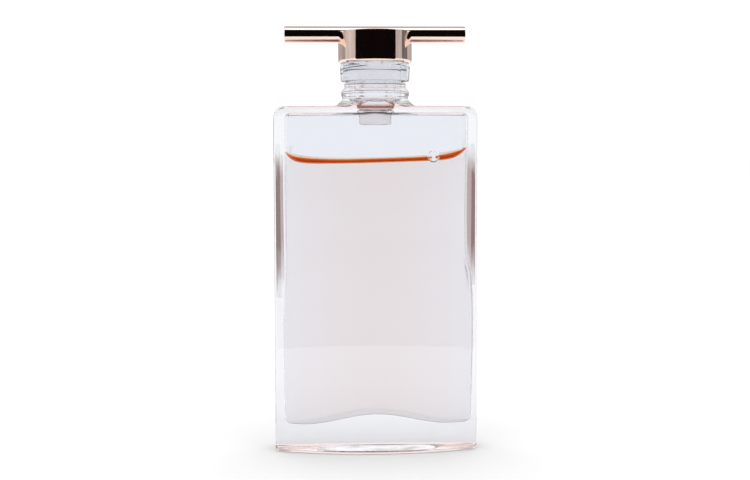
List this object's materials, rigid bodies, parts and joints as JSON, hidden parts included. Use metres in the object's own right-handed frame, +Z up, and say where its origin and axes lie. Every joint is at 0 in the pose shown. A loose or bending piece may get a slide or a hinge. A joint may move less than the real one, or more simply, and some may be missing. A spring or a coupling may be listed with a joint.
{
  "type": "perfume bottle",
  "caption": "Small flat clear glass perfume bottle with a screw-on cap that has a metal collar and a cross bar.",
  "frame": {"origin": "centre of the base, in the plane that the bottle stands on", "axes": "+Z up along the neck, +X across the width, +Y through the thin body away from the front"},
  "size_m": [0.0304, 0.011, 0.0635],
  "materials": {
    "clear_glass": "clear, fire polished",
    "perfume": "clear pale peach liquid",
    "natural_plastic": "translucent natural plastic",
    "clear_plastic": "clear, gloss",
    "white_liner": "closed-cell foam, matt",
    "rose_metal": "mirror polished, rose-gold tint",
    "clear_film": "clear film"
  },
  "bodies": {
    "bottle": {"glass_bottle": "clear_glass", "perfume_liquid": "perfume", "orifice_plug": "natural_plastic", "base_film": "clear_film"},
    "seal": {"sealing_disc": "white_liner"},
    "cap": {"screw_insert": "clear_plastic", "collar_shell": "rose_metal", "cross_bar": "rose_metal"}
  },
  "joints": [
    {"name": "cap_rise", "type": "slide", "parent": "bottle", "child": "seal", "axis": [0, 0, 1], "range_m": [0, 0.006]},
    {"name": "cap_turn", "type": "hinge", "parent": "seal", "child": "cap", "pos_m": [0, 0, 0.0575], "axis": [0, 0, 1], "range_deg": [0, 1080]}
  ],
  "couplings": [
    {"joint": "cap_turn", "follows": "cap_rise", "rad_per_m": 3141.6}
  ]
}
